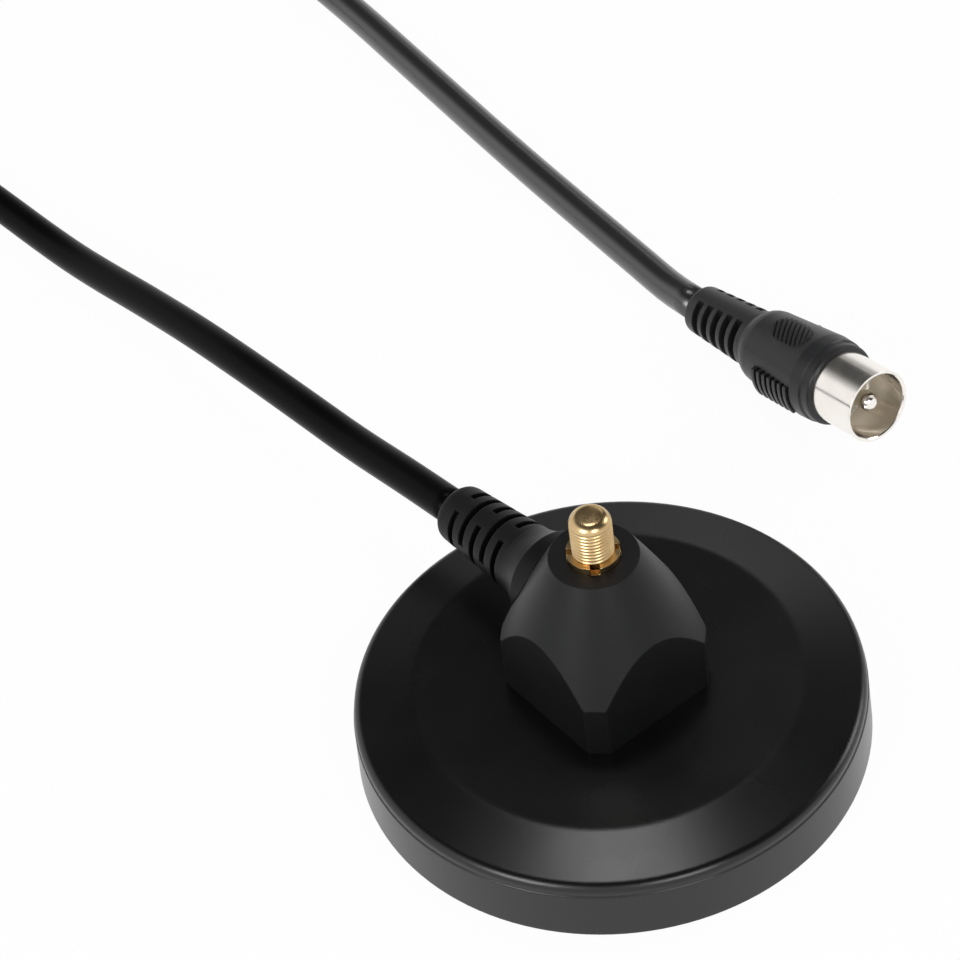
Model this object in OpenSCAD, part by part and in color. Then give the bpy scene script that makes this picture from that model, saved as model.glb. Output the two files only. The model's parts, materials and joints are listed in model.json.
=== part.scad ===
// Indoor television antenna foot: a round magnetic base carries a faceted
// housing with a threaded brass stud, and a coaxial lead with an aerial plug.
// The lead leaves the housing along +Y. The origin lies in the middle of the
// foot, on the surface that it stands on.

/* [Foot] */
// Diameter of the foot at its lower edge
base_d = 60.8; // [54:0.1:70]
// Height of the flat top above the table
base_h = 9.5; // [9:0.1:12]
// Diameter of the flat top
plateau_d = 45.6; // [40:0.1:50]
// Fall of the sloping rim, in degrees
slope_deg = 11; // [6:0.5:14]
// Radius of the rounded outer edge
edge_r = 1.1; // [0.8:0.1:1.5]
// Radius that softens the inner edge of the sloping rim
plateau_edge_r = 5; // [2:0.5:8]
// Inward lean of the skirt over its height
skirt_draft = 0.25; // [0:0.05:0.5]
// Height of the fine step round the skirt
step_h = 6.6; // [6:0.1:6.8]
// Depth of the fine step
step_d = 0.12; // [0.05:0.01:0.2]
// Sheet thickness of the cover
cover_t = 1.2; // [0.8:0.1:1.4]
// Gap between the skirt and the table
skirt_lift = 0.3; // [0.1:0.1:0.6]

/* [Weight and pad] */
// Gap between the ring magnet and the skirt
magnet_gap = 1.6; // [1.5:0.1:4]
// Bore of the ring magnet
magnet_bore = 24; // [20:0.5:30]
// Distance of the back plate's edge from the edge of the flat top
plate_inset = 0.5; // [0.4:0.1:2]
// Bore of the back plate
plate_bore = 18; // [17:0.5:20]
// Thickness of the back plate
plate_t = 1.5; // [1:0.1:2]
// Thickness of the foot pad
pad_t = 1; // [0.6:0.1:1.5]
// Play between the foot pad and the skirt
pad_gap = 0.2; // [0.1:0.05:0.5]

/* [Housing] */
// Width of the housing across its flat walls
housing_w = 18.5; // [17.5:0.1:20]
// Size of the flats on the upright corners
corner_cut = 1.8; // [1.2:0.1:2.4]
// Radius that softens the upright corners
corner_r = 0.8; // [0.4:0.1:1.2]
// Height of the housing above the foot
housing_h = 20.5; // [19.5:0.1:22]
// Diameter of the round land at the top
land_d = 10.4; // [9.6:0.1:11.2]
// Slope of the roof, in millimetres of fall per millimetre outwards
roof_fall = 2.02; // [1.9:0.02:2.2]
// Swell of the roof line between the land and the corners
roof_swell = 0.35; // [0.1:0.05:0.6]
// Wall thickness of the housing
housing_wall = 1.8; // [1.4:0.1:2]
// Thickness of the housing under the land
crown_t = 4.5; // [4:0.1:5]

/* [Housing screws] */
// Depth by which the screw bosses run into the walls
boss_merge = 0.15; // [0.1:0.05:0.3]
// Diameter of the screw bosses
boss_d = 4.6; // [4.2:0.1:4.8]
// Height of the screw bosses
boss_h = 9; // [7:0.5:10]
// Diameter of the screws
screw_d = 2.4; // [2:0.1:2.6]
// Length of the screws under their heads
screw_l = 8; // [6:0.5:9]
// Diameter of the screw heads
screw_head_d = 4.4; // [3.8:0.1:4.8]
// Thickness of the screw heads
screw_head_t = 1.5; // [1.2:0.1:1.6]
// Play of a screw in its hole
screw_gap = 0.05; // [0.02:0.01:0.1]

/* [Stud] */
// Diameter of the stud over its thread
stud_d = 4.9; // [4.5:0.1:5.1]
// Diameter of the plain shank under the thread
shank_d = 4.4; // [4:0.1:4.5]
// Height of the stud above the housing
stud_rise = 6.5; // [5.8:0.1:9]
// Length of the rounded tip
stud_tip = 1.3; // [0.8:0.1:1.8]
// Reach of the stud below the crown of the housing
stud_tail = 4; // [3.8:0.1:4.5]
// Diameter of the slotted collar
collar_d = 6.2; // [5.8:0.1:6.8]
// Height of the collar above the housing
collar_rise = 0.9; // [0.5:0.1:1.2]
// Width of the slots in the collar
collar_slot = 1.1; // [0.6:0.1:1.3]
// Play between turned pieces that fit one another
fit_gap = 0.05; // [0.02:0.01:0.1]
// Diameter of the washer under the nut
washer_d = 9; // [8.8:0.1:9.1]
// Thickness of the washer
washer_t = 0.6; // [0.4:0.1:0.8]
// Width of the nut across its flats
nut_af = 8; // [7:0.1:8.2]
// Thickness of the nut
nut_t = 2; // [1.6:0.1:2.2]

/* [Connections inside] */
// Thickness of the sheet of both lugs
lug_t = 0.4; // [0.3:0.05:0.5]
// Diameter of the solder lug
lug_d = 10; // [9.8:0.1:10.2]
// Width of the tabs of both lugs
lug_tab_w = 2.6; // [2:0.1:3]
// Length of the solder lug's bent tab
lug_tab_l = 5; // [4.6:0.1:5.4]
// Diameter of the inner conductor
conductor_d = 0.7; // [0.5:0.1:0.9]
// Diameter of the lead's white core
dielectric_d = 2.9; // [2.4:0.1:3.2]
// Bared length of the white core
dielectric_l = 1.6; // [1:0.1:2]
// Length of lead jacket inside the housing
jacket_l = 2.6; // [2:0.1:3]
// Wall of the crimp ring
crimp_t = 0.4; // [0.3:0.05:0.6]
// Length of the crimp ring
crimp_l = 2; // [1.5:0.1:2]
// Diameter of the twisted shield
pigtail_d = 1.1; // [0.8:0.1:1.4]
// Distance of the earth screw from the middle
earth_y = 4.5; // [4.3:0.1:4.7]
// Diameter of the earth lug
earth_lug_d = 5; // [4.8:0.1:5.2]
// Reach of the earth lug's tab
earth_tab_l = 4; // [3.6:0.1:4.4]
// Length of the earth screw under its head
earth_screw_l = 3.8; // [3.6:0.1:4.4]
// Width of the earth nut across its flats
earth_nut_af = 5; // [4.5:0.1:5.5]
// Thickness of the earth nut
earth_nut_t = 1.8; // [1.4:0.1:2]

/* [Strain relief] */
// Height of the lead's exit above the table
exit_z = 19.5; // [18.8:0.1:19.7]
// Droop of the strain relief, in degrees
relief_droop = 6.7; // [4:0.1:9]
// Length of the strain relief outside the wall
relief_l = 17.5; // [16.8:0.1:20]
// Diameter of the relief at its tail
relief_tail_d = 7.3; // [6.8:0.1:7.8]
// Diameter of the relief at its neck
relief_neck_d = 8.7; // [8.2:0.1:9.2]
// Diameter of the flare where the relief meets the housing
relief_flare_d = 11.6; // [10.4:0.1:12]
// Length of the flare
relief_flare_l = 4.6; // [3.6:0.1:5]
// Diameter at the bottom of the slots
relief_core_d = 5.9; // [5.2:0.1:6.2]
// Number of slotted rows
relief_rows = 5; // [3:1:5]
// Spacing of the slotted rows
relief_pitch = 2.2; // [2:0.05:2.3]
// Width of a slot along the lead
relief_slot = 0.95; // [0.8:0.05:1.1]
// Distance of the first slotted row from the tail
relief_first = 3.4; // [2.8:0.1:3.6]
// Width of the bridges between the slots
relief_bridge = 2.4; // [1.8:0.1:2.8]
// Turn of the slot pattern about the lead, in degrees
relief_twist = 13; // [0:1:30]
// Diameter of the root in the wall of the housing
root_d = 6; // [5.6:0.1:6.4]
// Diameter of the collar inside the wall
root_flange_d = 7.4; // [7:0.1:7.8]
// Thickness of the collar inside the wall
root_flange_t = 1.2; // [0.8:0.1:1.4]

/* [Plug grip] */
// Slope of the plug, which its stiff lead holds up, in degrees
plug_pitch = 10; // [6:0.1:12]
// Turn of the plug about the upright, in degrees
plug_yaw = -1.2; // [-4:0.1:4]
// Length of the grip from its tail to its front face
grip_l = 27.6; // [25.8:0.1:29]
// Diameter of the grip at its front
grip_d = 11.4; // [11:0.1:11.8]
// Diameter behind the finger pads
grip_rear_d = 10.1; // [9.8:0.1:10.6]
// Diameter of the lip round the shell
lip_d = 10.8; // [10.4:0.1:11]
// Length of the lip
lip_l = 1.7; // [1:0.1:2.2]
// Length of the slotted tail
grip_tail_l = 12.7; // [11.8:0.1:13]
// Diameter at the start of the tail
grip_tail_d = 6.6; // [6.2:0.1:6.8]
// Diameter at the end of the slotted tail
grip_neck_d = 8; // [7.6:0.1:8.4]
// Diameter at the bottom of the slots
grip_core_d = 4.9; // [4.8:0.1:5.4]
// Number of slots on each side
grip_rows = 5; // [3:1:5]
// Spacing of the slots
grip_pitch = 2; // [1.8:0.05:2.1]
// Width of a slot along the plug
grip_slot = 1.25; // [0.8:0.05:1.3]
// Distance of the first slot from the tail
grip_first = 2.5; // [2:0.1:2.8]
// Width of the rib along the top and the bottom of the tail
grip_rib = 2.9; // [2.4:0.1:3.2]
// Distance of the side pads from the tail
side_pad_s = 16.9; // [15.4:0.1:17.4]
// Length of the side pads
side_pad_l = 7.2; // [6.6:0.1:7.8]
// Height of the side pads' upper edge over the plug's axis
side_pad_top = 1.5; // [0.8:0.1:2]
// Height of the side pads
side_pad_h = 4.4; // [3.4:0.1:4.6]
// Depth of the side pads' flats under the round of the grip
side_pad_sink = 0.9; // [0.6:0.1:1.2]
// Stand of the ribs on the pads above the grip
pad_rise = 0.3; // [0.2:0.05:0.6]
// Number of ribs on a side pad
side_ribs = 7; // [5:1:8]
// Width of one pad rib
rib_w = 0.55; // [0.4:0.05:0.6]
// Distance of the oval top pad from the tail
top_pad_s = 20; // [18.6:0.1:20.4]
// Length of the oval top pad
top_pad_l = 6.4; // [6:0.1:7.4]
// Width of the oval top pad
top_pad_w = 3.9; // [3.4:0.1:4.4]
// Turn of the top pad about the plug, in degrees
top_pad_turn = 5; // [0:0.5:8]
// Spacing of the fine ribs on the top pad
top_rib_pitch = 0.8; // [0.7:0.05:1]

/* [Plug contacts] */
// Outer diameter of the plug's shell
shell_d = 9.5; // [9.3:0.05:9.6]
// Length of the shell in front of the grip
shell_l = 6.9; // [6.5:0.1:9]
// Wall of the shell
shell_wall = 0.45; // [0.3:0.05:0.6]
// Diameter of the shell's hold inside the grip
hold_d = 9; // [8.6:0.1:9.2]
// Length of the shell's hold inside the grip
shell_hold = 3; // [2:0.1:4]
// Diameter of the shell's rear barrel
barrel_d = 7.8; // [7.4:0.1:8]
// Length of the rear barrel
barrel_l = 6.4; // [6:0.1:6.8]
// Diameter of the centre pin
pin_d = 2.4; // [2.2:0.05:2.6]
// Distance of the pin's tip behind the rim
pin_recess = 0.8; // [0.4:0.1:1.4]
// Reach of the pin behind the insulator
pin_tail = 2; // [1.5:0.1:2.5]
// Thickness of the insulator
insulator_t = 8; // [6:0.1:9]
// Distance of the insulator's front face behind the front of the grip
insulator_inset = 1.2; // [0.6:0.1:2]
// Outer diameter of the cable clamp
clamp_d = 6; // [5.4:0.1:6.2]
// Bore of the cable clamp
clamp_bore = 4.7; // [4.6:0.1:5]
// Length of the cable clamp
clamp_l = 2.6; // [2:0.1:3]

/* [Lead] */
// Diameter of the lead
lead_d = 4.5; // [4:0.1:5]
// Radius of the outer turn of the coil, to the middle of the lead
coil_outer_r = 32.5; // [28:0.5:36]
// Turns in each layer of the coil
coil_turns = 3.75; // [2.75:1:4.75]
// Layers of turns in the coil
coil_layers = 2; // [1:1:3]
// Room beside the lead where it joins the coil
entry_gap = 0.4; // [0.2:0.1:0.8]
// Width of the tie round the coil, in degrees of the coil
tie_deg = 9; // [6:1:14]
// Thickness of the tie
tie_t = 0.6; // [0.4:0.1:0.9]

/* [Hidden] */
$fn = 72;
eps = 0.01;

// Foot
base_r = base_d / 2;
plateau_r = plateau_d / 2;
skirt_top_r = base_r - skirt_draft - step_d;
edge_x = skirt_top_r - edge_r;
edge_z = base_h - (edge_x - plateau_r) * tan(slope_deg) - edge_r / cos(slope_deg);
cover_in_r = skirt_top_r - cover_t;
cover_in_z = base_h - cover_t / cos(slope_deg) - (cover_in_r - plateau_r) * tan(slope_deg);
cover_under_z = base_h - cover_t;
plate_d = plateau_d - 2 * plate_inset;
magnet_d = 2 * (cover_in_r - magnet_gap);
magnet_top_z = cover_under_z - plate_t;

// Housing
housing_half = housing_w / 2;
land_r = land_d / 2;
land_z = base_h + housing_h;
crown_z = land_z - crown_t;
cavity_half = housing_half - housing_wall;
boss_x = cavity_half + boss_merge - boss_d / 2;
roof_reach = housing_half * sqrt(2);
roof_drop = (roof_reach - land_r) * roof_fall;

// Stud
stud_r = stud_d / 2;
collar_top_z = land_z + collar_rise;
lug_under_z = crown_z - lug_t;
nut_top_z = lug_under_z - washer_t;
conductor_tip_y = -lug_d / 2 - 0.8;

// Strain relief: its own axis runs from the wall to the tail
relief_root = [0, housing_half, exit_z];
relief_dir = [0, cos(relief_droop), -sin(relief_droop)];
relief_tail = relief_root + relief_l * relief_dir;

// Plug: it stands on the edge of its tail and points to -Y
grip_r = grip_d / 2;
grip_tail_r = grip_tail_d / 2;
tail_round = 0.5;
lip_r = lip_d / 2;
lip_round = 0.45;
plug_tail = [53.8, 44.5];
plug_tail_z = grip_tail_r * cos(plug_pitch);
shell_rim_s = grip_l + shell_l;
shell_in_r = shell_d / 2 - shell_wall;
hold_in_r = hold_d / 2 - shell_wall;
barrel_front_s = grip_l - shell_hold;
barrel_rear_s = barrel_front_s - barrel_l;
barrel_in_r = barrel_d / 2 - shell_wall;
insulator_front_s = grip_l - insulator_inset;
insulator_rear_s = insulator_front_s - insulator_t;
pin_tip_s = shell_rim_s - pin_recess;
pin_rear_s = insulator_rear_s - pin_tail;
clamp_front_s = barrel_rear_s;

// Lead: the route's points, chosen along the lie of the lead
lead_r = lead_d / 2;
lead_sides = 12;
base_route = [
    [0, 33, 16.5], [0, 38, 15.7], [0, 48, 14], [0, 60, 12.6], [0, 72, 11.1],
    [0.1, 84, 9.1], [0.1, 96, 6.7], [0, 106, 4.6], [-0.1, 114, 3.2],
    [-0.3, 122, 2.5], [-0.6, 130, 2.25], [-1.2, 140, 2.25], [-2.2, 151, 2.25],
    [-3.4, 162, 2.25], [-4.5, 173, 2.25], [-5.4, 184, 2.25], [-5.9, 195, 2.25],
    [-6, 204, 2.25]
];
plug_route = [
    [54, 48, 2.75], [54.2, 52, 2.35], [54.7, 58, 2.27], [55.3, 66, 2.25], [55.9, 74, 2.25],
    [56.6, 83, 2.25], [57.5, 93, 2.25], [58.6, 104, 2.25], [59.8, 116, 2.25],
    [61, 128, 2.25], [61.9, 140, 2.25], [62.3, 152, 2.25], [62.2, 164, 2.25],
    [61.6, 176, 2.3], [60.6, 188, 3.1], [59.6, 200, 5]
];
coil_centre = [26.5, 213];
coil_start = [coil_centre.x - coil_outer_r, coil_centre.y, lead_r];
coil_end = [coil_centre.x + coil_outer_r, coil_centre.y, (coil_layers - 0.5) * lead_d];
coil_h = coil_layers * lead_d;
coil_out_r = coil_outer_r + lead_r;
coil_in_r = coil_outer_r - coil_turns * lead_d - lead_r;

// Points along an arc of a circle, from one angle to the other
function arc(centre, r, from, to, steps) = [
    for (i = [0:steps])
        let (a = from + (to - from) * i / steps)
            centre + r * [cos(a), sin(a)]
];

// A closed convex outline with every corner rounded
function rounded_outline(pts, r, steps) = [
    for (i = [0:len(pts) - 1])
        let (
            p = pts[i],
            before = pts[(i + len(pts) - 1) % len(pts)] - p,
            after = pts[(i + 1) % len(pts)] - p,
            u = before / norm(before),
            v = after / norm(after),
            half = acos(u * v) / 2,
            middle = p + (u + v) / norm(u + v) * r / sin(half),
            start = p + u * r / tan(half) - middle,
            first = atan2(start.y, start.x),
            turn = 180 - 2 * half
        )
            each arc(middle, r, first, first + turn, steps)
];

// Upright outline of the housing, a square with its corners cut
function housing_outline(half, cut) = [
    [half, cut - half], [half, half - cut], [half - cut, half], [cut - half, half],
    [-half, half - cut], [-half, cut - half], [cut - half, -half], [half - cut, -half]
];

// Line of the roof from the land outwards, slightly swollen
function roof_line(r0, z0, swell, steps) = [
    for (i = [0:steps])
        let (t = i / steps)
            [r0 + (roof_reach - land_r) * t, z0 - roof_drop * t + 4 * swell * t * (1 - t)]
];

// Rings of points round a path, for a tube of constant section
function path_dir(path, i) =
    let (
        a = path[max(i - 1, 0)],
        b = path[min(i + 1, len(path) - 1)]
    )
        (b - a) / norm(b - a);

function tube_ring(centre, dir, r, sides) =
    let (
        across = cross(dir, [0, 0, 1]),
        u = across / norm(across),
        v = cross(u, dir)
    )
        [for (k = [0:sides - 1]) centre + r * (cos(360 * k / sides) * u + sin(360 * k / sides) * v)];

// A tube along a path; its first and last faces may be given a direction
module tube(path, r, sides, start_dir, end_dir) {
    last = len(path) - 1;
    rings = [
        for (i = [0:last])
            let (dir = i == 0 ? start_dir : i == last ? end_dir : path_dir(path, i))
                each tube_ring(path[i], dir, r, sides)
    ];
    sides_faces = [
        for (i = [0:last - 1], k = [0:sides - 1])
            let (a = i * sides + k, b = i * sides + (k + 1) % sides)
                each [[a, b, b + sides], [a, b + sides, a + sides]]
    ];
    caps = [
        [for (k = [sides - 1:-1:0]) k],
        [for (k = [0:sides - 1]) last * sides + k]
    ];
    polyhedron(points = rings, faces = concat(sides_faces, caps));
}

module ring(outer_d, inner_d, h) {
    difference() {
        cylinder(d = outer_d, h = h);
        translate([0, 0, -eps])
            cylinder(d = inner_d, h = h + 2 * eps);
    }
}

module hexagon(across_flats, h) {
    intersection_for (a = [0, 60, 120])
        rotate([0, 0, a])
            translate([-across_flats / 2, -across_flats, 0])
                cube([across_flats, 2 * across_flats, h]);
}

// Frames: +Z of the children runs along the lead or the plug
module at_exit() {
    translate(relief_root)
        rotate([-90, 0, 0])
            children();
}

module at_relief() {
    translate(relief_root)
        rotate([-90 - relief_droop, 0, 0])
            children();
}

module at_plug() {
    translate([plug_tail.x, plug_tail.y, plug_tail_z])
        rotate([90 - plug_pitch, 0, plug_yaw])
            children();
}

module screw(d, l, head_d, head_t) {
    difference() {
        union() {
            cylinder(d = head_d, h = head_t);
            translate([0, 0, head_t - eps])
                cylinder(d = d, h = l + eps);
        }
        for (a = [0, 90])
            rotate([0, 0, a])
                translate([-head_d * 0.3, -0.2, -eps])
                    cube([head_d * 0.6, 0.4, head_t * 0.6]);
    }
}

// Foot: pressed cover, back plate, magnet and pad
module cover_section() {
    soft = plateau_edge_r * tan(slope_deg / 2);
    outer = concat(
        [[0, base_h]],
        arc([plateau_r - soft, base_h - plateau_edge_r], plateau_edge_r, 90, 90 - slope_deg, 4),
        arc([edge_x, edge_z], edge_r, 90 - slope_deg, 0, 8),
        [
            [skirt_top_r, step_h + step_d],
            [skirt_top_r + step_d, step_h],
            [base_r, skirt_lift],
            [base_r - cover_t, skirt_lift]
        ]
    );
    inner = [
        [cover_in_r, cover_in_z],
        [plateau_r - cover_t * tan(slope_deg / 2), cover_under_z],
        [0, cover_under_z]
    ];
    polygon(concat(outer, inner));
}

module base_cover() {
    color("#1b1b1d")
        difference() {
            rotate_extrude()
                cover_section();
            for (x = [-boss_x, boss_x])
                translate([x, 0, 0])
                    cylinder(d = screw_d + 2 * screw_gap, h = base_h + 1);
            translate([0, -earth_y, 0])
                cylinder(d = screw_d + 2 * screw_gap, h = base_h + 1);
        }
}

module back_plate() {
    color("#8a8d90")
        translate([0, 0, magnet_top_z])
            ring(plate_d, plate_bore, plate_t);
}

module ring_magnet() {
    color("#3a3a3c")
        translate([0, 0, pad_t])
            ring(magnet_d, magnet_bore, magnet_top_z - pad_t);
}

module foot_pad() {
    color("#222224")
        cylinder(r = cover_in_r - pad_gap, h = pad_t);
}

// Housing: a cut-cornered block under a round, steep roof
module housing_block(half, cut, round_r, line) {
    intersection() {
        translate([0, 0, base_h - 1])
            linear_extrude(housing_h + 2)
                polygon(rounded_outline(housing_outline(half, cut), round_r, 4));
        rotate_extrude()
            polygon(concat([[0, 0], [0, line[0].y]], line, [[line[len(line) - 1].x, 0]]));
    }
}

module housing_outer() {
    difference() {
        housing_block(housing_half, corner_cut, corner_r, roof_line(land_r, land_z, roof_swell, 10));
        translate([-housing_w, -housing_w, 0])
            cube([2 * housing_w, 2 * housing_w, base_h]);
    }
}

module housing_cavity() {
    difference() {
        housing_block(
            cavity_half, corner_cut * 0.8, corner_r * 0.6,
            roof_line(land_r - housing_wall / 2, land_z - housing_wall, roof_swell, 6)
        );
        translate([-housing_w, -housing_w, crown_z])
            cube([2 * housing_w, 2 * housing_w, housing_h]);
    }
}

module housing() {
    color("#2f2f33")
        difference() {
            union() {
                difference() {
                    housing_outer();
                    housing_cavity();
                }
                for (x = [-boss_x, boss_x])
                    translate([x, 0, base_h])
                        cylinder(d = boss_d, h = boss_h);
            }
            for (x = [-boss_x, boss_x])
                translate([x, 0, base_h - eps])
                    cylinder(d = screw_d + 2 * screw_gap, h = screw_l - cover_t + 0.5);
            cylinder(d = collar_d + 2 * fit_gap, h = land_z + 1);
            at_exit()
                translate([0, 0, -housing_wall - 1])
                    cylinder(d = root_d + 2 * fit_gap, h = housing_wall + 2);
        }
}

module housing_screw(x) {
    color("#b9bcc0")
        translate([x, 0, cover_under_z - screw_head_t])
            screw(screw_d, screw_l, screw_head_d, screw_head_t);
}

module housing_screw_left() {
    housing_screw(-boss_x);
}

module housing_screw_right() {
    housing_screw(boss_x);
}

// Stud, its slotted collar and what holds it inside
module threaded_stud() {
    foot_z = crown_z - stud_tail;
    top_z = land_z + stud_rise;
    flat_r = stud_r * 0.5;
    tip = [
        for (i = [0:6])
            let (a = 90 * i / 6)
                [flat_r + (stud_r - flat_r) * cos(a), top_z - stud_tip + stud_tip * sin(a)]
    ];
    color("#c9a24b")
        rotate_extrude()
            polygon(concat(
                [
                    [0, foot_z], [shank_d / 2 - 0.4, foot_z], [shank_d / 2, foot_z + 0.4],
                    [shank_d / 2, collar_top_z], [stud_r, collar_top_z]
                ],
                tip,
                [[0, top_z]]
            ));
}

module stud_collar() {
    color("#d2ac55")
        difference() {
            translate([0, 0, crown_z])
                ring(collar_d, shank_d + 2 * fit_gap, collar_top_z - crown_z);
            for (a = [54, 144])
                rotate([0, 0, a])
                    translate([-collar_d, -collar_slot / 2, land_z])
                        cube([2 * collar_d, collar_slot, collar_rise + 1]);
        }
}

module solder_lug() {
    tab_y = -lug_d / 2;
    tab_z = crown_z - lug_tab_l;
    color("#c7c3b4")
        difference() {
            union() {
                translate([0, 0, lug_under_z])
                    cylinder(d = lug_d, h = lug_t);
                translate([-lug_tab_w / 2, tab_y, tab_z])
                    cube([lug_tab_w, lug_t, lug_tab_l]);
                translate([-lug_tab_w / 2, tab_y, lug_under_z])
                    cube([lug_tab_w, lug_d / 2, lug_t]);
            }
            translate([0, 0, lug_under_z - 1])
                cylinder(d = shank_d + 2 * fit_gap, h = lug_t + 2);
            translate([0, tab_y - 1, exit_z + conductor_d])
                rotate([-90, 0, 0])
                    cylinder(d = conductor_d + 2 * fit_gap, h = lug_t + 2);
        }
}

module stud_washer() {
    color("#d8c27e")
        translate([0, 0, nut_top_z])
            ring(washer_d, shank_d + 2 * fit_gap, washer_t);
}

module stud_nut() {
    color("#cfae5c")
        translate([0, 0, nut_top_z - nut_t])
            difference() {
                rotate([0, 0, 30])
                    hexagon(nut_af, nut_t);
                translate([0, 0, -eps])
                    cylinder(d = shank_d + 2 * fit_gap, h = nut_t + 2 * eps);
            }
}

// End of the lead inside the housing
module inner_jacket() {
    color("#1c1c1e")
        at_exit()
            translate([0, 0, -housing_wall - root_flange_t - jacket_l])
                cylinder(r = lead_r, h = jacket_l);
}

module crimp_ring() {
    color("#b5a36a")
        at_exit()
            translate([0, 0, -housing_wall - root_flange_t - jacket_l])
                ring(lead_d + 2 * fit_gap + 2 * crimp_t, lead_d + 2 * fit_gap, crimp_l);
}

module inner_dielectric() {
    color("#eeeeea")
        at_exit()
            translate([0, 0, -housing_wall - root_flange_t - jacket_l - dielectric_l])
                cylinder(d = dielectric_d, h = dielectric_l);
}

module inner_conductor() {
    start_y = housing_half - housing_wall - root_flange_t - jacket_l - dielectric_l;
    color("#c77b3c")
        translate([0, start_y, exit_z])
            rotate([90, 0, 0])
                cylinder(d = conductor_d, h = start_y - conductor_tip_y);
}

module shield_pigtail() {
    top = [0, housing_half - housing_wall - root_flange_t - jacket_l + crimp_l / 2,
        exit_z - lead_r - fit_gap - crimp_t];
    foot = [0, earth_tab_l - earth_y - 0.6, base_h + lug_t];
    color("#b9b9b4")
        difference() {
            translate(foot)
                rotate([-atan2(top.y - foot.y, top.z - foot.z), 0, 0])
                    translate([0, 0, -1])
                        cylinder(d = pigtail_d, h = norm(top - foot) + 1.6);
            translate([-housing_half, -housing_half, 0])
                cube([housing_w, housing_w, base_h + lug_t]);
            at_exit()
                translate([0, 0, -housing_w])
                    cylinder(d = lead_d + 2 * fit_gap + 2 * crimp_t, h = housing_w);
        }
}

module earth_lug() {
    color("#c7c3b4")
        translate([0, -earth_y, base_h])
            difference() {
                union() {
                    cylinder(d = earth_lug_d, h = lug_t);
                    translate([-lug_tab_w / 2, 0, 0])
                        cube([lug_tab_w, earth_tab_l, lug_t]);
                }
                translate([0, 0, -eps])
                    cylinder(d = screw_d + 2 * screw_gap, h = lug_t + 2 * eps);
            }
}

module earth_screw() {
    color("#b9bcc0")
        translate([0, -earth_y, base_h + lug_t + screw_head_t])
            mirror([0, 0, 1])
                screw(screw_d, earth_screw_l, screw_head_d, screw_head_t);
}

module earth_nut() {
    color("#b9bcc0")
        translate([0, -earth_y, cover_under_z - earth_nut_t])
            difference() {
                hexagon(earth_nut_af, earth_nut_t);
                translate([0, 0, -eps])
                    cylinder(d = screw_d + 2 * screw_gap, h = earth_nut_t + 2 * eps);
            }
}

// A row of slots that leaves two bridges; each row turns by a quarter
module slot_row(at, turn, width, core_d, reach_d, bridge) {
    rotate([0, 0, turn])
        translate([0, 0, at - width / 2])
            difference() {
                ring(reach_d, core_d, width);
                translate([-bridge / 2, -reach_d, -1])
                    cube([bridge, 2 * reach_d, width + 2]);
            }
}

// Moulded strain relief, shaped against the wall and the roof
module strain_relief() {
    tail_r = relief_tail_d / 2;
    neck_r = relief_neck_d / 2;
    flare_r = relief_flare_d / 2;
    flare = [
        for (i = [0:6])
            let (t = i / 6)
                [neck_r + (flare_r - neck_r) * t * t, relief_flare_l * (1 - t)]
    ];
    color("#202022")
        union() {
            difference() {
                at_relief()
                    difference() {
                        rotate_extrude()
                            polygon(concat(
                                [[0, relief_l], [tail_r - 1.1, relief_l]],
                                arc([tail_r - 1.1, relief_l - 1.1], 1.1, 90, 0, 4),
                                flare,
                                [[flare_r, -housing_half / 2], [0, -housing_half / 2]]
                            ));
                        for (i = [0:relief_rows - 1])
                            slot_row(
                                relief_l - relief_first - i * relief_pitch,
                                90 * (i % 2) - relief_twist, relief_slot,
                                relief_core_d, relief_flare_d, relief_bridge
                            );
                    }
                housing_outer();
            }
            at_exit()
                translate([0, 0, -housing_wall - eps])
                    cylinder(d = root_d, h = housing_wall + 1);
            intersection() {
                at_exit()
                    translate([0, 0, -housing_wall - root_flange_t])
                        cylinder(d = root_flange_d, h = root_flange_t);
                housing_cavity();
            }
        }
}

// Lead: plain tubes where it lies open, one solid for its coil
module cable_base_run() {
    color("#1c1c1e")
        tube(
            concat([relief_tail], base_route, [coil_start]),
            lead_r, lead_sides, relief_dir, [0, 1, 0]
        );
}

module cable_plug_run() {
    flat = cos(plug_pitch);
    tail_dir = [-sin(plug_yaw) * flat, cos(plug_yaw) * flat, -sin(plug_pitch)];
    tail_point = [plug_tail.x, plug_tail.y, plug_tail_z];
    color("#1c1c1e")
        tube(
            concat([tail_point], plug_route, [coil_end]),
            lead_r, lead_sides, tail_dir, [0, 1, 0]
        );
}

// Room for the lead where it joins the outer turn, on either side
module coil_entries() {
    translate([coil_centre.x, coil_centre.y - coil_out_r - 1, -1])
        for (x = [-coil_out_r - entry_gap, coil_outer_r - lead_r - entry_gap])
            translate([x, 0, 0])
                cube([lead_d + 2 * entry_gap, coil_out_r + 1, coil_h + 2]);
}

module cable_coil() {
    color("#1c1c1e")
        difference() {
            translate([coil_centre.x, coil_centre.y, 0])
                rotate_extrude()
                    translate([coil_in_r, 0])
                        square([coil_out_r - coil_in_r, coil_h]);
            coil_entries();
            at_tie()
                translate([coil_in_r - 1, -1])
                    square([coil_out_r - coil_in_r + 2, tie_t + 1]);
        }
}

// Sweeps a section round the coil for the width of its tie
module at_tie() {
    translate([coil_centre.x, coil_centre.y, 0])
        rotate([0, 0, 90 - tie_deg / 2])
            rotate_extrude(angle = tie_deg)
                children();
}

// A flat band round the turns, flush with their underside
module coil_tie() {
    color("#101012")
        at_tie()
            difference() {
                translate([coil_in_r - tie_t, 0])
                    square([coil_out_r - coil_in_r + 2 * tie_t, coil_h + tie_t]);
                translate([coil_in_r, tie_t])
                    square([coil_out_r - coil_in_r, coil_h - tie_t]);
            }
}

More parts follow.
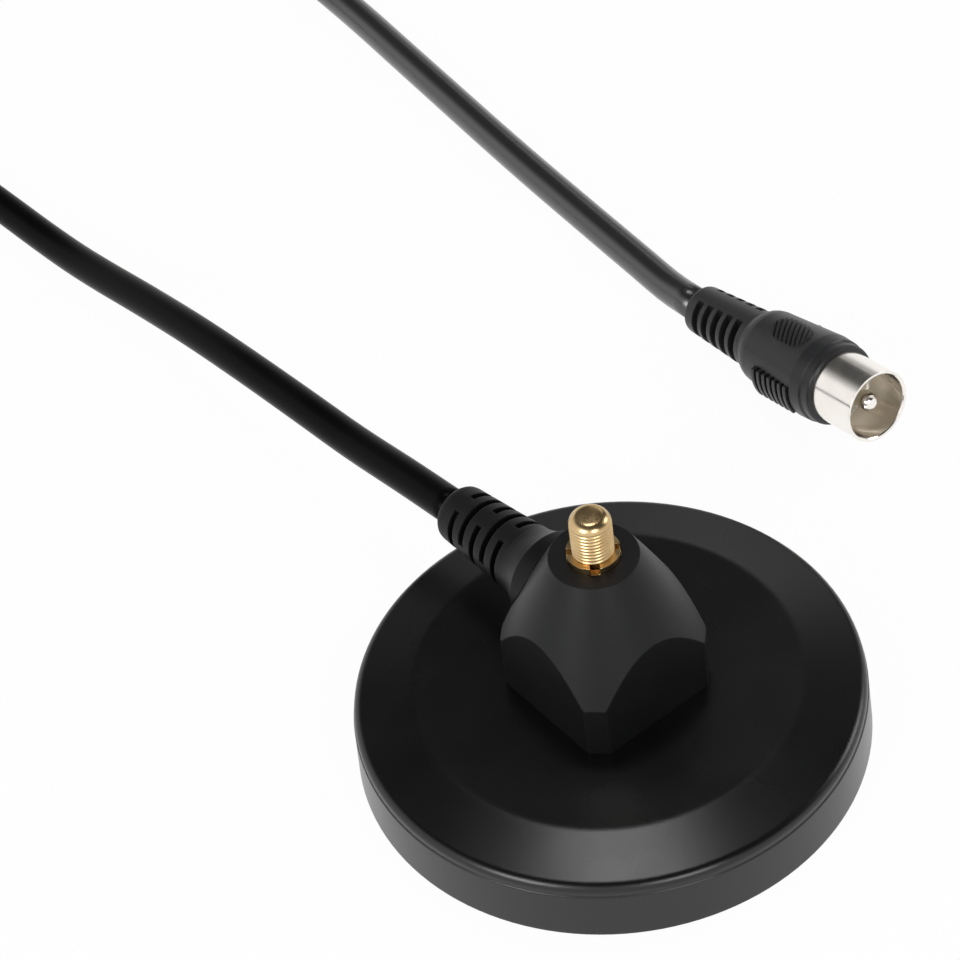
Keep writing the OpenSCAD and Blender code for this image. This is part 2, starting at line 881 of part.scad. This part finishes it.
// Grip of the plug with its slotted tail and finger pads
module grip_section() {
    neck_r = grip_neck_d / 2;
    rear_r = grip_rear_d / 2;
    polygon(concat(
        [[0, 0], [grip_tail_r - tail_round, 0]],
        arc([grip_tail_r - tail_round, tail_round], tail_round, -90, 0, 3),
        [[neck_r, grip_tail_l - 0.6], [neck_r + 0.25, grip_tail_l]],
        [
            for (i = [1:5])
                let (a = 90 * i / 5)
                    [neck_r + 0.25 + (rear_r - neck_r - 0.25) * sin(a), grip_tail_l + 2.2 * (1 - cos(a))]
        ],
        [[grip_r, grip_l - 2 * lip_l], [grip_r - 0.1, grip_l - lip_l], [lip_r, grip_l - lip_l + 0.2]],
        arc([lip_r - lip_round, grip_l - lip_round], lip_round, 0, 90, 4),
        [[0, grip_l]]
    ));
}

// A flat cut into the round of the grip, on which the ribs of a side pad stand
module side_flat() {
    translate([grip_r - side_pad_sink, side_pad_top - side_pad_h, side_pad_s])
        cube([grip_r, side_pad_h, side_pad_l]);
}

module side_pad_ribs() {
    step = side_pad_l / side_ribs;
    intersection() {
        for (i = [0:side_ribs - 1])
            translate([0, side_pad_top - side_pad_h, side_pad_s + (i + 0.5) * step - rib_w / 2])
                cube([grip_d, side_pad_h, rib_w]);
        cylinder(r = grip_r + pad_rise, h = grip_l);
    }
}

module top_pad_outline() {
    half = (top_pad_l - top_pad_w) / 2;
    square([top_pad_w, 2 * half], center = true);
    for (y = [-half, half])
        translate([0, y])
            circle(d = top_pad_w);
}

module top_pad() {
    pad_r = grip_r - 0.1;
    ribs = floor(top_pad_l / top_rib_pitch) + 2;
    intersection() {
        translate([0, 0, top_pad_s])
            rotate([-90, 0, 0])
                linear_extrude(grip_d)
                    top_pad_outline();
        union() {
            cylinder(r = pad_r - 0.1, h = grip_l);
            intersection() {
                cylinder(r = pad_r + pad_rise * 0.4, h = grip_l);
                for (i = [-ribs / 2:ribs / 2])
                    translate([0, 0, top_pad_s + i * top_rib_pitch])
                        rotate([0, 35, 0])
                            translate([-grip_d / 2, 0, -top_rib_pitch / 4])
                                cube([grip_d, grip_d, top_rib_pitch / 2]);
            }
        }
    }
}

module plug_grip() {
    color("#3b3b3f")
        at_plug()
            difference() {
                union() {
                    difference() {
                        rotate_extrude()
                            grip_section();
                        for (side = [0, 1])
                            mirror([side, 0, 0])
                                side_flat();
                    }
                    for (side = [0, 1])
                        mirror([side, 0, 0])
                            side_pad_ribs();
                    rotate([0, 0, top_pad_turn])
                        top_pad();
                }
                for (i = [0:grip_rows - 1])
                    slot_row(
                        grip_first + i * grip_pitch, 0, grip_slot,
                        grip_core_d, grip_d, grip_rib
                    );
                shell_outer();
                clamp_solid();
                translate([0, 0, pin_rear_s])
                    cylinder(d = pin_d, h = grip_l);
            }
}

// Contacts of the plug, all on its axis
module shell_outer() {
    translate([0, 0, grip_l])
        cylinder(d = shell_d, h = shell_l);
    translate([0, 0, barrel_front_s])
        cylinder(d = hold_d, h = shell_hold + eps);
    translate([0, 0, barrel_rear_s])
        cylinder(d = barrel_d, h = barrel_l + eps);
}

module plug_shell() {
    lip = 0.15;
    color("#c8c6c0")
        at_plug()
            difference() {
                shell_outer();
                translate([0, 0, grip_l + shell_wall])
                    cylinder(r = shell_in_r, h = shell_l);
                translate([0, 0, barrel_front_s + shell_wall])
                    cylinder(r = hold_in_r, h = shell_hold + 1);
                translate([0, 0, barrel_rear_s - eps])
                    cylinder(r = barrel_in_r, h = barrel_l + 1);
                translate([0, 0, shell_rim_s - lip])
                    cylinder(r1 = shell_in_r, r2 = shell_in_r + lip, h = lip + eps);
            }
}

module plug_insulator() {
    color("#e8e2d2")
        at_plug()
            difference() {
                union() {
                    translate([0, 0, insulator_rear_s])
                        cylinder(r = barrel_in_r, h = insulator_t);
                    translate([0, 0, barrel_front_s + shell_wall])
                        cylinder(r = hold_in_r, h = insulator_front_s - barrel_front_s - shell_wall);
                }
                translate([0, 0, insulator_rear_s - 1])
                    cylinder(d = pin_d, h = insulator_t + 2);
            }
}

module plug_pin() {
    tip_r = pin_d / 2;
    color("#cfcdc6")
        at_plug()
            rotate_extrude()
                polygon(concat(
                    [[0, pin_rear_s], [tip_r, pin_rear_s]],
                    [
                        for (i = [0:5])
                            let (a = 90 * i / 5)
                                [tip_r * (0.35 + 0.65 * cos(a)), pin_tip_s - tip_r * (1 - sin(a))]
                    ],
                    [[0, pin_tip_s]]
                ));
}

module clamp_solid() {
    translate([0, 0, clamp_front_s - clamp_l])
        ring(clamp_d, clamp_bore, clamp_l);
}

module plug_clamp() {
    color("#bdb9aa")
        at_plug()
            clamp_solid();
}

base_cover();
back_plate();
ring_magnet();
foot_pad();
housing();
housing_screw_left();
housing_screw_right();
threaded_stud();
stud_collar();
solder_lug();
stud_washer();
stud_nut();
inner_jacket();
crimp_ring();
inner_dielectric();
inner_conductor();
shield_pigtail();
earth_lug();
earth_screw();
earth_nut();
strain_relief();
cable_base_run();
cable_coil();
coil_tie();
cable_plug_run();
plug_grip();
plug_shell();
plug_insulator();
plug_pin();
plug_clamp();
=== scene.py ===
import json
import math

import bpy
import numpy as np
from mathutils import Matrix, Vector


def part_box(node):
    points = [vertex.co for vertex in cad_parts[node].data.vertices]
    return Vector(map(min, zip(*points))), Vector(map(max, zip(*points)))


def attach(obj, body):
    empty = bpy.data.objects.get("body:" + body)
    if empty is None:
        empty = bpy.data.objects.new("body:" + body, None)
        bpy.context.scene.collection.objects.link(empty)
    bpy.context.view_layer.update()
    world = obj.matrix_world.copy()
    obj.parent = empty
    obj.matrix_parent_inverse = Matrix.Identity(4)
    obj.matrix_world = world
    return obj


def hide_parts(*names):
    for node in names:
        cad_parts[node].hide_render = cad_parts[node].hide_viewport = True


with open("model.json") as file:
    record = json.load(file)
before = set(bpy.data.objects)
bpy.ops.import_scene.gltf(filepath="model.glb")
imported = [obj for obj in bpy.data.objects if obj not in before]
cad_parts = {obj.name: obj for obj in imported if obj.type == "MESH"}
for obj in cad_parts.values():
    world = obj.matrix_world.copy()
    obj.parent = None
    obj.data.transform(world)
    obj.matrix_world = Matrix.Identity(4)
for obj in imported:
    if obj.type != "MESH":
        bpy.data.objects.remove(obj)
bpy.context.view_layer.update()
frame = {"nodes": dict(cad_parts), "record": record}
nodes = frame["nodes"]
scene = bpy.context.scene
scene.view_settings.view_transform = "Standard"
MM = 0.001

CAM_AZIMUTH, CAM_ELEVATION, CAM_ROLL = -33, 44.99, 8.39
CAM_LENS, CAM_SENSOR = 126.84, 36
CAM_SHIFT_MM = (-11.37, 31.40)
CAM_DISTANCE_MM = 400
CAM_CLIP = (0.02, 20)

GRAIN_SCALE, GRAIN_MM = 900.0, 0.02
MOTTLE_SCALE = 60.0
MARK_SCALE, MARK_MM = 400, 0.01
TARNISH_SCALE = 220.0
SHADE_SPAN = (0.35, 0.65)
GLOSS_SPAN = (0.3, 0.7)
BEVEL_SAMPLES = 4
METAL_EDGE_MM = 0.08
COAT_ROUGH = 0.26


def make_camera():
    """The photograph's view, fitted to the foot's circles, the housing and the plug."""
    az, el, roll = (math.radians(a) for a in (CAM_AZIMUTH, CAM_ELEVATION, CAM_ROLL))
    back = Vector((math.sin(az) * math.cos(el), -math.cos(az) * math.cos(el), math.sin(el)))
    right = Vector((math.cos(az), math.sin(az), 0))
    up = back.cross(right)
    place = CAM_SHIFT_MM[0] * right + CAM_SHIFT_MM[1] * up + CAM_DISTANCE_MM * back
    cam_right = math.cos(roll) * right - math.sin(roll) * up
    cam_up = math.sin(roll) * right + math.cos(roll) * up
    data = bpy.data.cameras.new("camera")
    data.lens = CAM_LENS
    data.sensor_width = CAM_SENSOR
    data.clip_start, data.clip_end = CAM_CLIP
    cam = bpy.data.objects.new("camera", data)
    scene.collection.objects.link(cam)
    m = Matrix((cam_right, cam_up, back)).transposed().to_4x4()
    m.translation = place * MM
    cam.matrix_world = m
    scene.camera = cam


make_camera()


def material(name):
    """A material with one principled shader on its output."""
    mat = bpy.data.materials.new(name)
    mat.use_nodes = True
    tree = mat.node_tree
    tree.nodes.clear()
    out = tree.nodes.new("ShaderNodeOutputMaterial")
    bsdf = tree.nodes.new("ShaderNodeBsdfPrincipled")
    tree.links.new(bsdf.outputs[0], out.inputs[0])
    return mat, tree, bsdf


def add(tree, kind, **values):
    """A new node, its attributes or inputs set by name."""
    node = tree.nodes.new(kind)
    for key, value in values.items():
        if hasattr(node, key):
            setattr(node, key, value)
        else:
            node.inputs[key.replace("_", " ")].default_value = value
    return node


def ramp(tree, source, low, high, colours):
    """The first colour below low, the second above high, blended between them."""
    node = tree.nodes.new("ShaderNodeValToRGB")
    node.color_ramp.elements[0].position = low
    node.color_ramp.elements[1].position = high
    node.color_ramp.elements[0].color = (*colours[0], 1)
    node.color_ramp.elements[1].color = (*colours[1], 1)
    tree.links.new(source, node.inputs[0])
    return node


def spread(tree, source, low, high):
    """A noise's middle values stretched to run from low to high."""
    node = tree.nodes.new("ShaderNodeMapRange")
    node.inputs["From Min"].default_value = GLOSS_SPAN[0]
    node.inputs["From Max"].default_value = GLOSS_SPAN[1]
    node.inputs["To Min"].default_value = low
    node.inputs["To Max"].default_value = high
    tree.links.new(source, node.inputs["Value"])
    return node


def moulded(name, dark, light, rough, bump=0.1, round_mm=0.25, spec=0.5, coat=0):
    """Plastic or paint: two near shades, uneven gloss, fine grain, softened edges."""
    mat, tree, bsdf = material(name)
    coord = add(tree, "ShaderNodeTexCoord")
    fine = add(tree, "ShaderNodeTexNoise", Scale=GRAIN_SCALE, Detail=3.0)
    broad = add(tree, "ShaderNodeTexNoise", Scale=MOTTLE_SCALE, Detail=4.0)
    for n in (fine, broad):
        tree.links.new(coord.outputs["Object"], n.inputs["Vector"])
    colour = ramp(tree, broad.outputs[0], *SHADE_SPAN, (dark, light))
    tree.links.new(colour.outputs[0], bsdf.inputs["Base Color"])
    gloss = spread(tree, broad.outputs[0], rough[0], rough[1])
    tree.links.new(gloss.outputs[0], bsdf.inputs["Roughness"])
    b = add(tree, "ShaderNodeBump", Strength=bump, Distance=GRAIN_MM * MM)
    tree.links.new(fine.outputs[0], b.inputs["Height"])
    if round_mm:
        edge = add(tree, "ShaderNodeBevel", samples=BEVEL_SAMPLES, Radius=round_mm * MM)
        tree.links.new(edge.outputs[0], b.inputs["Normal"])
    tree.links.new(b.outputs[0], bsdf.inputs["Normal"])
    bsdf.inputs["Specular IOR Level"].default_value = spec
    bsdf.inputs["Coat Weight"].default_value = coat
    bsdf.inputs["Coat Roughness"].default_value = COAT_ROUGH
    return mat


def metal(name, dark, light, rough, bump=0.08):
    """Metal with uneven tone and fine turning marks."""
    mat, tree, bsdf = material(name)
    coord = add(tree, "ShaderNodeTexCoord")
    scale = add(tree, "ShaderNodeMapping")
    scale.inputs["Scale"].default_value = (MARK_SCALE,) * 3
    tree.links.new(coord.outputs["Object"], scale.inputs["Vector"])
    marks = add(tree, "ShaderNodeTexNoise", Scale=1.0, Detail=3.0)
    tree.links.new(scale.outputs[0], marks.inputs["Vector"])
    broad = add(tree, "ShaderNodeTexNoise", Scale=TARNISH_SCALE, Detail=4.0)
    tree.links.new(coord.outputs["Object"], broad.inputs["Vector"])
    colour = ramp(tree, broad.outputs[0], *SHADE_SPAN, (dark, light))
    tree.links.new(colour.outputs[0], bsdf.inputs["Base Color"])
    gloss = spread(tree, marks.outputs[0], rough[0], rough[1])
    tree.links.new(gloss.outputs[0], bsdf.inputs["Roughness"])
    b = add(tree, "ShaderNodeBump", Strength=bump, Distance=MARK_MM * MM)
    tree.links.new(marks.outputs[0], b.inputs["Height"])
    edge = add(tree, "ShaderNodeBevel", samples=BEVEL_SAMPLES, Radius=METAL_EDGE_MM * MM)
    tree.links.new(edge.outputs[0], b.inputs["Normal"])
    tree.links.new(b.outputs[0], bsdf.inputs["Normal"])
    bsdf.inputs["Metallic"].default_value = 1
    return mat


PAINT = moulded(
    "black_paint", (0.0022, 0.0022, 0.0024), (0.0034, 0.0034, 0.0036), (0.24, 0.3),
    bump=0.03, round_mm=0.3,
)
HOUSING = moulded(
    "housing_plastic", (0.0044, 0.0045, 0.0051), (0.0058, 0.006, 0.0068), (0.4, 0.48),
    bump=0.12, spec=0.26,
)
VINYL = moulded(
    "relief_vinyl", (0.0028, 0.0028, 0.003), (0.0042, 0.0042, 0.0045), (0.42, 0.52),
    bump=0.2, spec=0.18,
)
JACKET = moulded(
    "lead_jacket", (0.0012, 0.0012, 0.0013), (0.002, 0.002, 0.0022), (0.26, 0.34),
    round_mm=0, spec=0.06,
)
GRIP = moulded(
    "grip_vinyl", (0.0085, 0.0087, 0.0098), (0.0125, 0.0128, 0.0145), (0.48, 0.58),
    bump=0.22, spec=0.3, coat=0.35,
)
RUBBER = moulded("pad_rubber", (0.01, 0.01, 0.01), (0.016, 0.016, 0.016), (0.75, 0.9), bump=0.4)
FERRITE = moulded("ferrite", (0.03, 0.03, 0.031), (0.05, 0.05, 0.052), (0.7, 0.85), bump=0.4)
NYLON = moulded(
    "tie_nylon", (0.008, 0.008, 0.009), (0.011, 0.011, 0.012), (0.3, 0.4), bump=0.05
)
CORE = moulded("white_core", (0.78, 0.78, 0.75), (0.85, 0.85, 0.82), (0.4, 0.5), bump=0.05)
CREAM = moulded(
    "insulator_plastic", (0.72, 0.66, 0.54), (0.8, 0.74, 0.62), (0.3, 0.4), bump=0.05
)
BRASS = metal("brass", (0.57, 0.39, 0.185), (0.67, 0.49, 0.26), (0.2, 0.34))
NICKEL = metal("nickel", (0.88, 0.84, 0.78), (0.94, 0.9, 0.85), (0.14, 0.2), bump=0.04)
ZINC = metal("zinc_steel", (0.5, 0.51, 0.52), (0.58, 0.59, 0.6), (0.3, 0.42))
TINNED = metal("tinned_sheet", (0.55, 0.53, 0.49), (0.68, 0.66, 0.62), (0.28, 0.4))
COPPER = metal("copper", (0.72, 0.36, 0.2), (0.82, 0.46, 0.28), (0.25, 0.35))


def painted_sheen_by_place(mat, painted_sheen, gloss, ior, spans):
    """Where both spans (axis, none, full) hold, the colour is paler, a painted sheen, and the
    surface has a glossy skin.
    """
    tree = mat.node_tree
    bsdf = next(n for n in tree.nodes if n.type == "BSDF_PRINCIPLED")
    own = bsdf.inputs["Base Color"].links[0].from_socket
    coord = add(tree, "ShaderNodeTexCoord")
    split = add(tree, "ShaderNodeSeparateXYZ")
    tree.links.new(coord.outputs["Object"], split.inputs[0])
    both = add(tree, "ShaderNodeMath", operation="MULTIPLY")
    for i, (axis, none, full) in enumerate(spans):
        share = add(tree, "ShaderNodeMapRange")
        share.inputs["From Min"].default_value = none
        share.inputs["From Max"].default_value = full
        tree.links.new(split.outputs[axis], share.inputs["Value"])
        tree.links.new(share.outputs[0], both.inputs[i])
    # Of the mix node's sockets, 6, 7 and output 2 are the colour ones.
    # The mix blends in the paler colour, which is painted sheen.
    mix = add(tree, "ShaderNodeMix", data_type="RGBA")
    tree.links.new(both.outputs[0], mix.inputs[0])
    tree.links.new(own, mix.inputs[6])
    mix.inputs[7].default_value = (*painted_sheen, 1)
    tree.links.new(mix.outputs[2], bsdf.inputs["Base Color"])
    tree.links.new(both.outputs[0], bsdf.inputs["Coat Weight"])
    bsdf.inputs["Coat Roughness"].default_value = gloss
    bsdf.inputs["Coat IOR"].default_value = ior


# The lead's colour is paler by its plug, a painted sheen for the brighter light there, and its
# skin is glossier there.
PLUG_RUN_SPANS = (("X", 0.01, 0.04), ("Y", 0.175, 0.13))
painted_sheen_by_place(JACKET, painted_sheen=(0.008, 0.008, 0.0084), gloss=0.3, ior=1.85, spans=PLUG_RUN_SPANS)

BY_SLOT = {
    "black_paint": PAINT, "zinc_steel": ZINC, "ferrite": FERRITE, "pad_rubber": RUBBER,
    "housing_plastic": HOUSING, "brass": BRASS, "tinned_sheet": TINNED, "lead_jacket": JACKET,
    "white_core": CORE, "copper": COPPER, "relief_vinyl": VINYL, "tie_nylon": NYLON,
    "grip_vinyl": GRIP, "nickel": NICKEL, "insulator_plastic": CREAM,
}
for part in frame["record"]["subparts"]:
    mesh = nodes[part["node"]].data
    mesh.materials.clear()
    mesh.materials.append(BY_SLOT[part["material_slot"]])


def piece(name, verts, faces, mat):
    """A smooth-shaded mesh that rides on the root and has a material slot."""
    mesh = bpy.data.meshes.new(name)
    mesh.from_pydata([tuple(v) for v in verts], [], faces)
    mesh.validate()
    mesh.polygons.foreach_set("use_smooth", [True] * len(mesh.polygons))
    mesh.materials.append(mat)
    obj = bpy.data.objects.new(name, mesh)
    scene.collection.objects.link(obj)
    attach(obj, "root")
    return obj


def spline(points, step):
    """Points of an even Catmull-Rom curve through the route, about one step apart."""
    p = np.array(points, float)
    p = np.vstack([2 * p[0] - p[1], p, 2 * p[-1] - p[-2]])
    out = []
    for i in range(1, len(p) - 2):
        n = max(1, round(np.linalg.norm(p[i + 1] - p[i]) / step))
        for k in range(n):
            t = k / n
            out.append(0.5 * (
                2 * p[i] + (p[i + 1] - p[i - 1]) * t
                + (2 * p[i - 1] - 5 * p[i] + 4 * p[i + 1] - p[i + 2]) * t * t
                + (3 * p[i] - 3 * p[i + 1] + p[i + 2] - p[i - 1]) * t ** 3
            ))
    out.append(p[-2])
    return np.array(out)


def tube(name, line, r, sides, mat):
    """A round tube along a line, its ends closed, with no twist."""
    tangent = np.gradient(line, axis=0)
    tangent /= np.linalg.norm(tangent, axis=1)[:, None]
    u = np.cross(tangent[0], (0, 0, 1.0))
    u /= np.linalg.norm(u)
    verts = []
    for c, t in zip(line, tangent):
        u = u - t * (u @ t)
        u /= np.linalg.norm(u)
        v = np.cross(t, u)
        for k in range(sides):
            a = 2 * math.pi * k / sides
            verts.append(c + r * (math.cos(a) * u + math.sin(a) * v))
    n = len(line)
    faces = [
        (
            i * sides + k, i * sides + (k + 1) % sides,
            (i + 1) * sides + (k + 1) % sides, (i + 1) * sides + k,
        )
        for i in range(n - 1) for k in range(sides)
    ]
    faces += [tuple(range(sides - 1, -1, -1)), tuple((n - 1) * sides + k for k in range(sides))]
    return piece(name, verts, faces, mat)


# The lead's routes and its coil, in metres: the same points as in part.scad.
LEAD_R = 0.00225
LEAD_STEP = 0.0025
LEAD_SIDES = 20
RELIEF_TAIL = (0, 0.02663, 0.017458)
BASE_ROUTE = [
    (0, 0.033, 0.0165), (0, 0.038, 0.0157), (0, 0.048, 0.014), (0, 0.06, 0.0126),
    (0, 0.072, 0.0111), (0.0001, 0.084, 0.0091), (0.0001, 0.096, 0.0067),
    (0, 0.106, 0.0046), (-0.0001, 0.114, 0.0032), (-0.0003, 0.122, 0.0025),
    (-0.0006, 0.13, 0.00225), (-0.0012, 0.14, 0.00225), (-0.0022, 0.151, 0.00225),
    (-0.0034, 0.162, 0.00225), (-0.0045, 0.173, 0.00225), (-0.0054, 0.184, 0.00225),
    (-0.0059, 0.195, 0.00225), (-0.006, 0.204, 0.00225), (-0.006, 0.213, 0.00225),
]
PLUG_TAIL = (0.0538, 0.0445, 0.00325)
PLUG_ROUTE = [
    (0.054, 0.048, 0.00275), (0.0542, 0.052, 0.00235), (0.0547, 0.058, 0.00227),
    (0.0553, 0.066, 0.00225),
    (0.0559, 0.074, 0.00225), (0.0566, 0.083, 0.00225), (0.0575, 0.093, 0.00225),
    (0.0586, 0.104, 0.00225), (0.0598, 0.116, 0.00225), (0.061, 0.128, 0.00225),
    (0.0619, 0.14, 0.00225), (0.0623, 0.152, 0.00225), (0.0622, 0.164, 0.00225),
    (0.0616, 0.176, 0.0023), (0.0606, 0.188, 0.0031), (0.0596, 0.2, 0.005),
    (0.059, 0.213, 0.00675),
]
COIL_CENTRE = (0.0265, 0.213)
COIL_R = 0.0325
COIL_TURNS = 3.75
COIL_STEPS_PER_TURN = 72
LIFT_TURNS = 0.25
PITCH = 0.0045


def coil_points():
    """The unseen middle of the lead: inwards in the lower layer, outwards in the upper one."""
    pts = []
    steps = round(COIL_TURNS * 2 * COIL_STEPS_PER_TURN)
    for i in range(1, steps):
        turn = COIL_TURNS * 2 * i / steps
        a = math.pi - 2 * math.pi * turn
        inwards = min(turn, 2 * COIL_TURNS - turn)
        r = COIL_R - PITCH * inwards
        lift = min(1, max(0, (turn - COIL_TURNS) / LIFT_TURNS + 0.5))
        z = LEAD_R + PITCH * lift * lift * (3 - 2 * lift)
        pts.append((COIL_CENTRE[0] + r * math.cos(a), COIL_CENTRE[1] + r * math.sin(a), z))
    return np.array(pts)


line = np.vstack([
    spline([RELIEF_TAIL] + BASE_ROUTE, LEAD_STEP),
    coil_points(),
    spline([PLUG_TAIL] + PLUG_ROUTE, LEAD_STEP)[::-1],
])
lead = tube("lead", line, LEAD_R, LEAD_SIDES, JACKET)
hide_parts("cable_base_run", "cable_coil", "cable_plug_run")


STUD_R, CORE_R, TIP_FLAT_R = 0.00245, 0.0022, 0.0012
THREAD_DEPTH, THREAD_PITCH = 0.00014, 0.0005
THREAD_START, TIP_LENGTH = 0.0309, 0.0013
THREAD_SIDES, RINGS_PER_PITCH = 48, 10
FLANK_SLOPE, CREST_WIDTH = 1.25, 0.12
SHANK_END_R, SHANK_CHAMFER = 0.0018, 0.0004


def ring(radius, z):
    """One round of points about the stud's axis."""
    turns = (2 * math.pi * k / THREAD_SIDES for k in range(THREAD_SIDES))
    return [(radius * math.cos(a), radius * math.sin(a), z) for a in turns]


def thread(name, shank, z1, mat):
    """A screw thread with a rounded tip; it stands inside the stud's own outline."""
    sides = THREAD_SIDES
    total = z1 - THREAD_START
    n = round(total / THREAD_PITCH * RINGS_PER_PITCH)
    verts, faces = [], []
    for z, radius in shank:
        verts += ring(radius, z)
    for i in range(n + 1):
        z = THREAD_START + total * i / n
        limit = STUD_R
        if z > z1 - TIP_LENGTH:
            s = min(1, (z - (z1 - TIP_LENGTH)) / TIP_LENGTH)
            limit = TIP_FLAT_R + (STUD_R - TIP_FLAT_R) * math.sqrt(max(0, 1 - s * s))
        for k in range(sides):
            a = 2 * math.pi * k / sides
            phase = (z / THREAD_PITCH - k / sides) % 1
            tooth = abs(2 * phase - 1)
            root = max(0, min(1, FLANK_SLOPE * tooth - CREST_WIDTH))
            radius = min(limit, STUD_R - THREAD_DEPTH * root)
            verts.append((radius * math.cos(a), radius * math.sin(a), z))
    rows = n + len(shank)
    for i in range(rows):
        for k in range(sides):
            a, b = i * sides + k, i * sides + (k + 1) % sides
            faces.append((a, b, b + sides, a + sides))
    faces.append(tuple(range(sides - 1, -1, -1)))
    faces.append(tuple(rows * sides + k for k in range(sides)))
    return piece(name, verts, faces, mat)


stud_lo, stud_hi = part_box("threaded_stud")
shank = [
    (stud_lo.z, SHANK_END_R), (stud_lo.z + SHANK_CHAMFER, CORE_R), (THREAD_START, CORE_R),
]
stud = thread("stud_thread", shank, stud_hi.z, BRASS)
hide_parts("threaded_stud")


def seen_through(tree, kinds=("Is Camera Ray", "Is Glossy Ray", "Is Transmission Ray")):
    """1 for the rays of these kinds, otherwise 0."""
    ray = add(tree, "ShaderNodeLightPath")
    out = ray.outputs[kinds[0]]
    for kind in kinds[1:]:
        either = add(tree, "ShaderNodeMath", operation="MAXIMUM")
        tree.links.new(out, either.inputs[0])
        tree.links.new(ray.outputs[kind], either.inputs[1])
        out = either.outputs[0]
    return out


FLOOR_HALF = 4
FLOOR_DROP = 0.00005
FLOOR_WHITE_SHARE = 0.965
FLOOR_GREY = (0.9, 0.9, 0.9, 1)


def stage_floor():
    """White to the camera and in reflections, apart from the shadow; grey to the light."""
    mesh = bpy.data.meshes.new("floor")
    s = FLOOR_HALF
    mesh.from_pydata([(-s, -s, 0), (s, -s, 0), (s, s, 0), (-s, s, 0)], [], [(0, 1, 2, 3)])
    mat = bpy.data.materials.new("floor")
    mat.use_nodes = True
    tree = mat.node_tree
    tree.nodes.clear()
    out = tree.nodes.new("ShaderNodeOutputMaterial")
    diffuse = add(tree, "ShaderNodeBsdfDiffuse")
    diffuse.inputs["Color"].default_value = FLOOR_GREY
    white = add(tree, "ShaderNodeEmission", Strength=1.0)
    share = add(tree, "ShaderNodeMath", operation="MULTIPLY")
    share.inputs[1].default_value = FLOOR_WHITE_SHARE
    mix = add(tree, "ShaderNodeMixShader")
    tree.links.new(seen_through(tree), share.inputs[0])
    tree.links.new(share.outputs[0], mix.inputs[0])
    tree.links.new(diffuse.outputs[0], mix.inputs[1])
    tree.links.new(white.outputs[0], mix.inputs[2])
    tree.links.new(mix.outputs[0], out.inputs[0])
    mesh.materials.append(mat)
    obj = bpy.data.objects.new("floor", mesh)
    scene.collection.objects.link(obj)
    obj.location.z = -FLOOR_DROP


stage_floor()


def area(name, place, size, power):
    """A soft box that looks at the foot."""
    data = bpy.data.lights.new(name, "AREA")
    data.shape = "RECTANGLE"
    data.size, data.size_y = size
    data.energy = power
    obj = bpy.data.objects.new(name, data)
    scene.collection.objects.link(obj)
    obj.location = place
    obj.rotation_mode = "QUATERNION"
    obj.rotation_quaternion = (-Vector(place)).to_track_quat("-Z", "Y")


# name, place, size, watts
LAMPS = (
    ("top", (0.15, 0.24, 0.96), (0.2, 0.2), 1.1),
    ("right", (0.9, -0.25, 0.5), (0.4, 0.4), 2.5),
    ("left", (-0.9, -0.2, 0.5), (0.4, 0.4), 4.0),
    ("front", (-0.25, -0.9, 0.6), (0.4, 0.4), 3.0),
    ("back", (0.76, 0.64, 0.62), (0.4, 0.3), 0.32),
)
for lamp in LAMPS:
    area(*lamp)

ROOM_TINT, ROOM_STRENGTH = (0.97, 0.985, 1, 1), 0.4
MIRROR_AXIS = (0.3, 0.0, 1.0)
MIRROR_SPAN = (0.34, 0.6)
MIRROR_LOW, MIRROR_HIGH = (0.97, 0.97, 0.97), (0.06, 0.06, 0.06)


def studio_world():
    """An even room; in reflections it is white near the horizon and dark above.

    The mirror axis leans to +X, so on that side the dark part comes down lower.
    """
    world = bpy.data.worlds.new("world")
    scene.world = world
    world.use_nodes = True
    tree = world.node_tree
    light = tree.nodes["Background"]
    light.inputs[0].default_value = ROOM_TINT
    light.inputs[1].default_value = ROOM_STRENGTH
    coord = add(tree, "ShaderNodeTexCoord")
    height = add(tree, "ShaderNodeVectorMath", operation="DOT_PRODUCT")
    tree.links.new(coord.outputs["Generated"], height.inputs[0])
    height.inputs[1].default_value = MIRROR_AXIS
    room = ramp(tree, height.outputs["Value"], *MIRROR_SPAN, (MIRROR_LOW, MIRROR_HIGH))
    mirrored = add(tree, "ShaderNodeBackground", Strength=1.0)
    tree.links.new(room.outputs[0], mirrored.inputs[0])
    seen = add(tree, "ShaderNodeBackground", Color=(1, 1, 1, 1), Strength=1.0)
    first = add(tree, "ShaderNodeMixShader")
    tree.links.new(seen_through(tree, ("Is Glossy Ray",)), first.inputs[0])
    tree.links.new(light.outputs[0], first.inputs[1])
    tree.links.new(mirrored.outputs[0], first.inputs[2])
    last = add(tree, "ShaderNodeMixShader")
    tree.links.new(seen_through(tree, ("Is Camera Ray", "Is Transmission Ray")), last.inputs[0])
    tree.links.new(first.outputs[0], last.inputs[1])
    tree.links.new(seen.outputs[0], last.inputs[2])
    tree.links.new(last.outputs[0], tree.nodes["World Output"].inputs[0])


studio_world()
